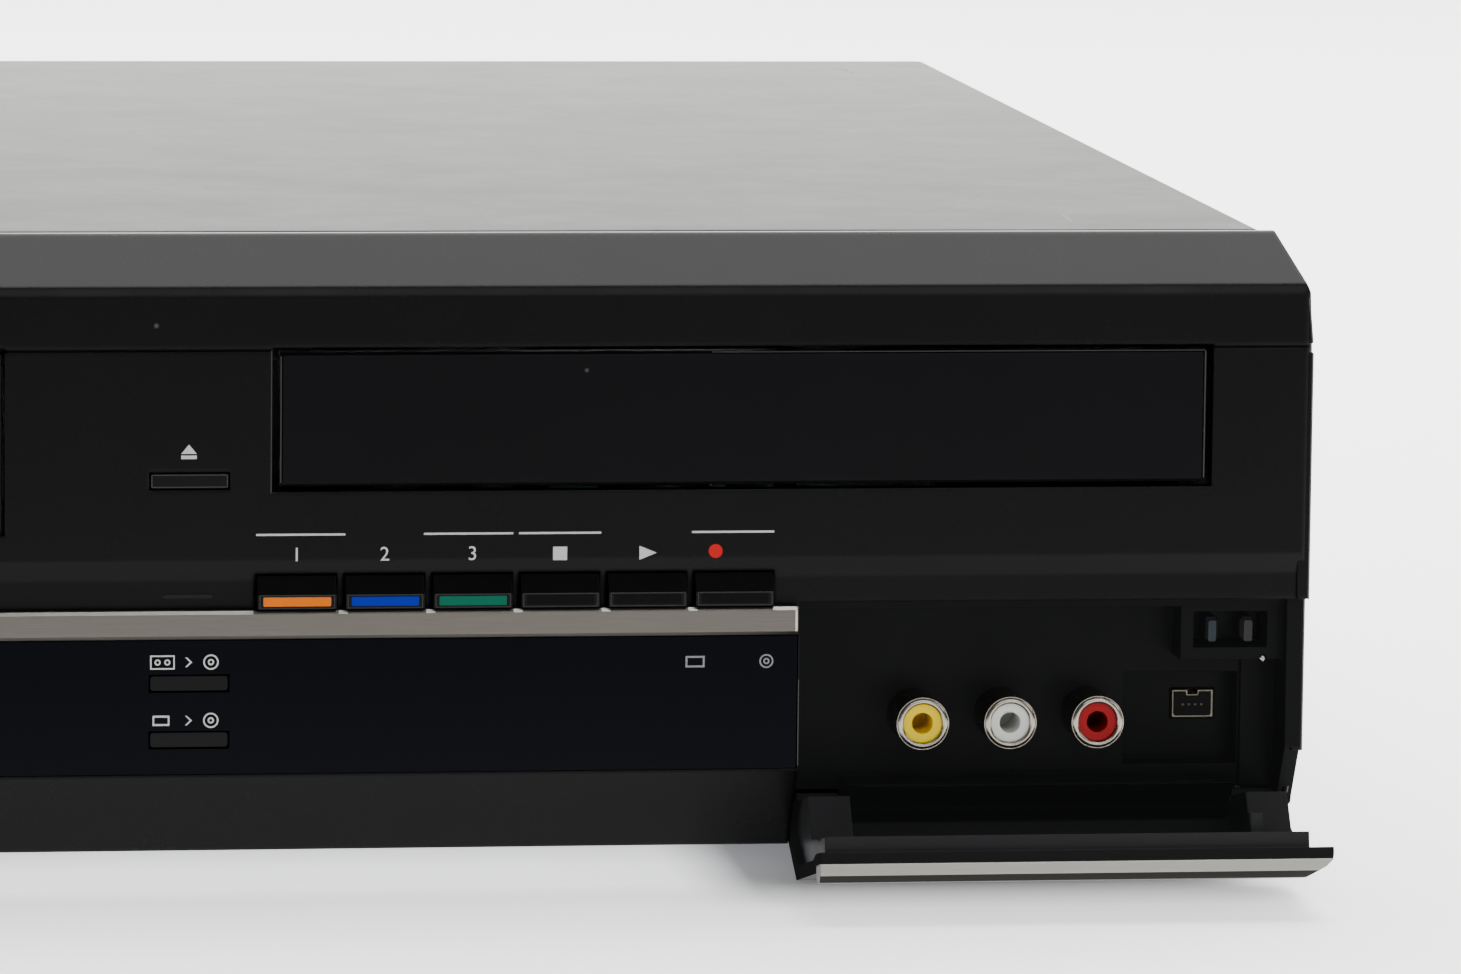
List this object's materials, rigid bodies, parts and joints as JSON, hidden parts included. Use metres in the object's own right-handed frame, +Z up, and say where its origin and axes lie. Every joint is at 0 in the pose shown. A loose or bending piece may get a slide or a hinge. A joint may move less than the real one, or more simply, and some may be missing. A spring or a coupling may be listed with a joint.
{
  "type": "disc and tape player",
  "caption": "Disc, tape and hard disk player: steel cover, moulded front with keys, disc tray, cassette door, reels, head drum and an open jack flap.",
  "frame": {"origin": "on the surface it stands on, under the middle of the outline with the jack flap open", "axes": "+Z up, the front faces -Y, +X to the right as the front is seen"},
  "size_m": [0.43, 0.385, 0.104],
  "materials": {
    "cover": "satin grey lacquer on steel",
    "zinc_steel": "zinc plated sheet",
    "panel_black": "fine semi-gloss moulding",
    "strip_silver": "brushed",
    "window_gloss": "polished smoked window",
    "bay_black": "satin moulding",
    "key_black": "semi-gloss keys",
    "nickel": "nickel plate",
    "jack_yellow": "moulded insert",
    "jack_white": "moulded insert",
    "jack_red": "moulded insert",
    "rubber": "matte",
    "tray_grey": "satin moulding",
    "gear_ivory": "acetal",
    "board_green": "solder mask",
    "board_tan": "phenolic board",
    "drive_metal": "cast body",
    "fan_black": "moulded",
    "socket_black": "moulded"
  },
  "bodies": {
    "case": {"accent_strip": "strip_silver", "bottom_chassis": "zinc_steel", "clamp_bridge": "zinc_steel", "display_window": "window_gloss", "drive_frame": "tray_grey", "drum_base": "zinc_steel", "dv_socket": "nickel", "fan_frame": "fan_black", "feet": "rubber", "flap_latch": "bay_black", "front_board": "board_green", "front_panel": "panel_black", "hard_drive": "drive_metal", "jack_bezel": "bay_black", "loading_motor": "zinc_steel", "main_board": "board_green", "mains_inlet": "socket_black", "power_board": "board_tan", "rca_insert_red": "jack_red", "rca_insert_white": "jack_white", "rca_insert_yellow": "jack_yellow", "rca_shells": "nickel", "rear_jacks": "nickel", "rear_panel": "zinc_steel", "rear_sockets": "socket_black", "tape_chassis": "zinc_steel", "top_cover": "cover"},
    "flap": {"flap_door": "bay_black", "flap_trim": "strip_silver"},
    "tray": {"tray_lid": "panel_black", "disc_tray": "tray_grey"},
    "tray_gear": {"tray_gear": "gear_ivory"},
    "loading_pulley": {"loading_pulley": "gear_ivory"},
    "clamp": {"disc_clamp": "tray_grey"},
    "traverse": {"traverse": "zinc_steel"},
    "turntable": {"turntable": "tray_grey"},
    "laser_sled": {"laser_sled": "tray_grey"},
    "cassette_door": {"cassette_door": "panel_black"},
    "carrier_lift": {"carrier_lift": "zinc_steel"},
    "cassette_carrier": {"cassette_carrier": "tray_grey"},
    "supply_reel": {"supply_reel": "gear_ivory"},
    "take_up_reel": {"take_up_reel": "gear_ivory"},
    "head_drum": {"head_drum": "zinc_steel"},
    "capstan": {"capstan": "zinc_steel"},
    "fan_rotor": {"fan_rotor": "fan_black"},
    "disc_eject_button": {"disc_eject_button": "key_black"},
    "dub_button_1": {"dub_button_1": "key_black"},
    "dub_button_2": {"dub_button_2": "key_black"},
    "play_button": {"play_button": "key_black"},
    "power_button": {"power_button": "key_black"},
    "record_button": {"record_button": "key_black"},
    "select_button_1": {"select_button_1": "key_black"},
    "select_button_2": {"select_button_2": "key_black"},
    "select_button_3": {"select_button_3": "key_black"},
    "stop_button": {"stop_button": "key_black"},
    "tape_eject_button": {"tape_eject_button": "key_black"},
    "tape_forward_button": {"tape_forward_button": "key_black"},
    "tape_play_button": {"tape_play_button": "key_black"},
    "tape_rewind_button": {"tape_rewind_button": "key_black"},
    "tape_stop_button": {"tape_stop_button": "key_black"}
  },
  "joints": [
    {"name": "flap_hinge", "type": "hinge", "parent": "case", "child": "flap", "pos_m": [0.12538, -0.15726, 0.0132], "axis": [-1, 0, 0], "range_deg": [0, 77.5]},
    {"name": "tray_slide", "type": "slide", "parent": "case", "child": "tray", "axis": [0, -1, 0], "range_m": [0, 0.14]},
    {"name": "tray_gear_spin", "type": "hinge", "parent": "case", "child": "tray_gear", "pos_m": [0.07288, -0.14146, 0.0664], "axis": [0, 0, 1], "range_deg": [0, 820]},
    {"name": "loading_pulley_spin", "type": "hinge", "parent": "case", "child": "loading_pulley", "pos_m": [0.08898, -0.14146, 0.0664], "axis": [0, 0, 1], "range_deg": [-1350, 0]},
    {"name": "traverse_tilt", "type": "hinge", "parent": "case", "child": "traverse", "pos_m": [0.12538, -0.01526, 0.0616], "axis": [1, 0, 0], "range_deg": [0, 5]},
    {"name": "turntable_spin", "type": "hinge", "parent": "traverse", "child": "turntable", "pos_m": [0.12538, -0.09526, 0.0783], "axis": [0, 0, 1], "continuous": true},
    {"name": "clamp_spin", "type": "hinge", "parent": "case", "child": "clamp", "pos_m": [0.12538, -0.09526, 0.084], "axis": [0, 0, 1], "continuous": true},
    {"name": "sled_slide", "type": "slide", "parent": "traverse", "child": "laser_sled", "axis": [0, 1, 0], "range_m": [0, 0.034]},
    {"name": "cassette_door_hinge", "type": "hinge", "parent": "case", "child": "cassette_door", "pos_m": [-0.088, -0.16646, 0.0855], "axis": [1, 0, 0], "range_deg": [0, 84], "stiffness_Nm_per_rad": 0.02},
    {"name": "lift_slide", "type": "slide", "parent": "case", "child": "carrier_lift", "axis": [0, 0, -1], "range_m": [0, 0.0125]},
    {"name": "carrier_slide", "type": "slide", "parent": "carrier_lift", "child": "cassette_carrier", "axis": [0, 1, 0], "range_m": [0, 0.034]},
    {"name": "supply_reel_spin", "type": "hinge", "parent": "case", "child": "supply_reel", "pos_m": [-0.134, -0.05421, 0.0424], "axis": [0, 0, 1], "continuous": true},
    {"name": "take_up_reel_spin", "type": "hinge", "parent": "case", "child": "take_up_reel", "pos_m": [-0.042, -0.05421, 0.0424], "axis": [0, 0, 1], "continuous": true},
    {"name": "head_drum_spin", "type": "hinge", "parent": "case", "child": "head_drum", "pos_m": [-0.088, 0.04004, 0.0389], "axis": [0, 0.1045, 0.9945], "continuous": true},
    {"name": "capstan_spin", "type": "hinge", "parent": "case", "child": "capstan", "pos_m": [-0.03, 0.01804, 0.0374], "axis": [0, 0, 1], "continuous": true},
    {"name": "fan_spin", "type": "hinge", "parent": "case", "child": "fan_rotor", "pos_m": [0.096, 0.17374, 0.058], "axis": [0, 1, 0], "continuous": true},
    {"name": "disc_eject_button_press", "type": "slide", "parent": "case", "child": "disc_eject_button", "axis": [0, 1, 0], "range_m": [0, 0.0008], "stiffness_N_per_m": 200},
    {"name": "dub_button_1_press", "type": "slide", "parent": "case", "child": "dub_button_1", "axis": [0, 1, 0], "range_m": [0, 0.0008], "stiffness_N_per_m": 200},
    {"name": "dub_button_2_press", "type": "slide", "parent": "case", "child": "dub_button_2", "axis": [0, 1, 0], "range_m": [0, 0.0008], "stiffness_N_per_m": 200},
    {"name": "play_button_press", "type": "slide", "parent": "case", "child": "play_button", "axis": [0, 1, 0], "range_m": [0, 0.0008], "stiffness_N_per_m": 200},
    {"name": "power_button_press", "type": "slide", "parent": "case", "child": "power_button", "axis": [0, 1, 0], "range_m": [0, 0.0008], "stiffness_N_per_m": 200},
    {"name": "record_button_press", "type": "slide", "parent": "case", "child": "record_button", "axis": [0, 1, 0], "range_m": [0, 0.0008], "stiffness_N_per_m": 200},
    {"name": "select_button_1_press", "type": "slide", "parent": "case", "child": "select_button_1", "axis": [0, 1, 0], "range_m": [0, 0.0008], "stiffness_N_per_m": 200},
    {"name": "select_button_2_press", "type": "slide", "parent": "case", "child": "select_button_2", "axis": [0, 1, 0], "range_m": [0, 0.0008], "stiffness_N_per_m": 200},
    {"name": "select_button_3_press", "type": "slide", "parent": "case", "child": "select_button_3", "axis": [0, 1, 0], "range_m": [0, 0.0008], "stiffness_N_per_m": 200},
    {"name": "stop_button_press", "type": "slide", "parent": "case", "child": "stop_button", "axis": [0, 1, 0], "range_m": [0, 0.0008], "stiffness_N_per_m": 200},
    {"name": "tape_eject_button_press", "type": "slide", "parent": "case", "child": "tape_eject_button", "axis": [0, 1, 0], "range_m": [0, 0.0008], "stiffness_N_per_m": 200},
    {"name": "tape_forward_button_press", "type": "slide", "parent": "case", "child": "tape_forward_button", "axis": [0, 1, 0], "range_m": [0, 0.0008], "stiffness_N_per_m": 200},
    {"name": "tape_play_button_press", "type": "slide", "parent": "case", "child": "tape_play_button", "axis": [0, 1, 0], "range_m": [0, 0.0008], "stiffness_N_per_m": 200},
    {"name": "tape_rewind_button_press", "type": "slide", "parent": "case", "child": "tape_rewind_button", "axis": [0, 1, 0], "range_m": [0, 0.0008], "stiffness_N_per_m": 200},
    {"name": "tape_stop_button_press", "type": "slide", "parent": "case", "child": "tape_stop_button", "axis": [0, 1, 0], "range_m": [0, 0.0008], "stiffness_N_per_m": 200}
  ],
  "couplings": [
    {"joint": "tray_gear_spin", "follows": "tray_slide", "rad_per_m": 100},
    {"joint": "loading_pulley_spin", "follows": "tray_slide", "rad_per_m": -166.67},
    {"joint": "clamp_spin", "follows": "turntable_spin", "ratio": 1}
  ]
}
